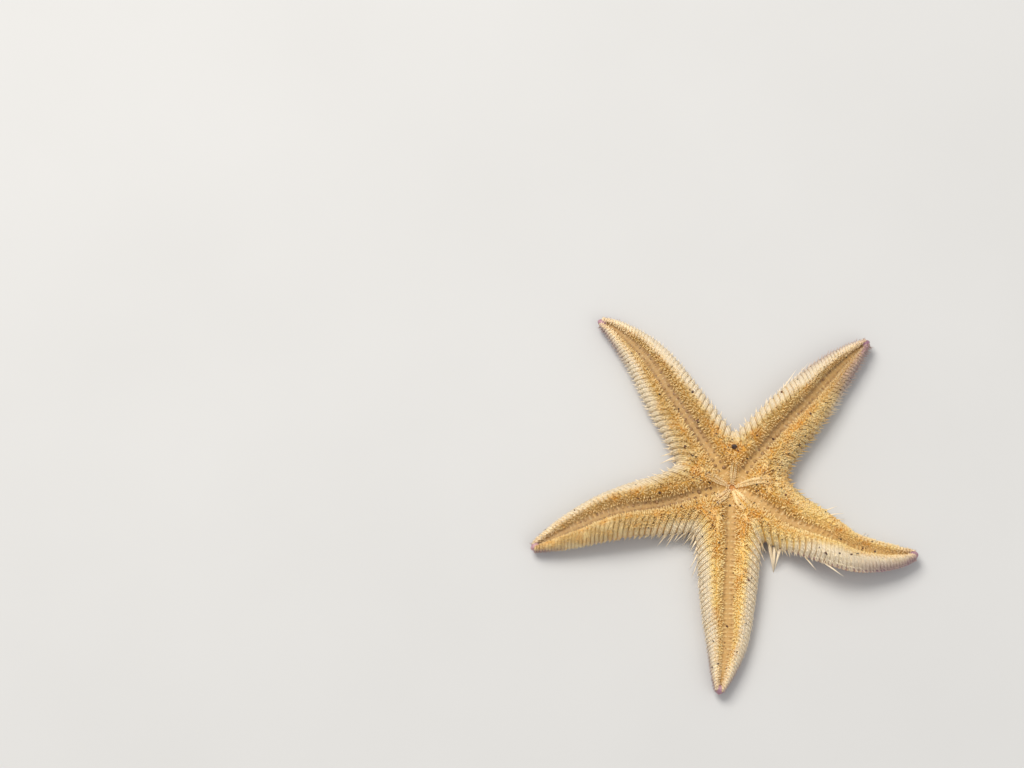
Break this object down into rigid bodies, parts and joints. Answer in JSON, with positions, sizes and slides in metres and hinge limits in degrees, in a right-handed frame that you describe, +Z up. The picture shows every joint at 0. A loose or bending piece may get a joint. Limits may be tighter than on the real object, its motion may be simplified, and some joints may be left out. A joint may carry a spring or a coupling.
{
  "type": "comb star",
  "caption": "Comb star, a sea star lying on its back, with grooved tapering arms, ridged plates and combs of spines along their edges, and one arm bent and rolled. Still display model.",
  "frame": {"origin": "on the floor under the mouth, on the flat of the disc's back", "axes": "+Z up, out of the mouth side; +Y away from the viewer, between arm_1 and arm_2; +X to the viewer's right"},
  "size_m": [0.0854, 0.087, 0.0097],
  "materials": {
    "plates": "matte, cream to golden, chalky plates",
    "skin": "matte golden skin, slightly damp in the grooves",
    "spines": "matte, translucent golden to cream spines",
    "jaws": "matte cream",
    "tips": "matte pink to violet",
    "madreporite": "matte, finely grooved"
  },
  "bodies": {
    "root": {"disc": "skin", "madreporite": "madreporite", "jaw_1": "jaws", "jaw_2": "jaws", "jaw_3": "jaws", "jaw_4": "jaws", "jaw_5": "jaws", "arm_1_inner": "plates", "arm_1_middle": "plates", "arm_1_outer": "plates", "arm_1_tip_plate": "tips", "arm_2_inner": "plates", "arm_2_middle": "plates", "arm_2_outer": "plates", "arm_2_tip_plate": "tips", "arm_3_inner": "plates", "arm_3_middle": "plates", "arm_3_outer": "plates", "arm_3_tip_plate": "tips", "arm_4_inner": "plates", "arm_4_middle": "plates", "arm_4_outer": "plates", "arm_4_tip_plate": "tips", "arm_5_inner": "plates", "arm_5_middle": "plates", "arm_5_outer": "plates", "arm_5_tip_plate": "tips"}
  },
  "joints": []
}
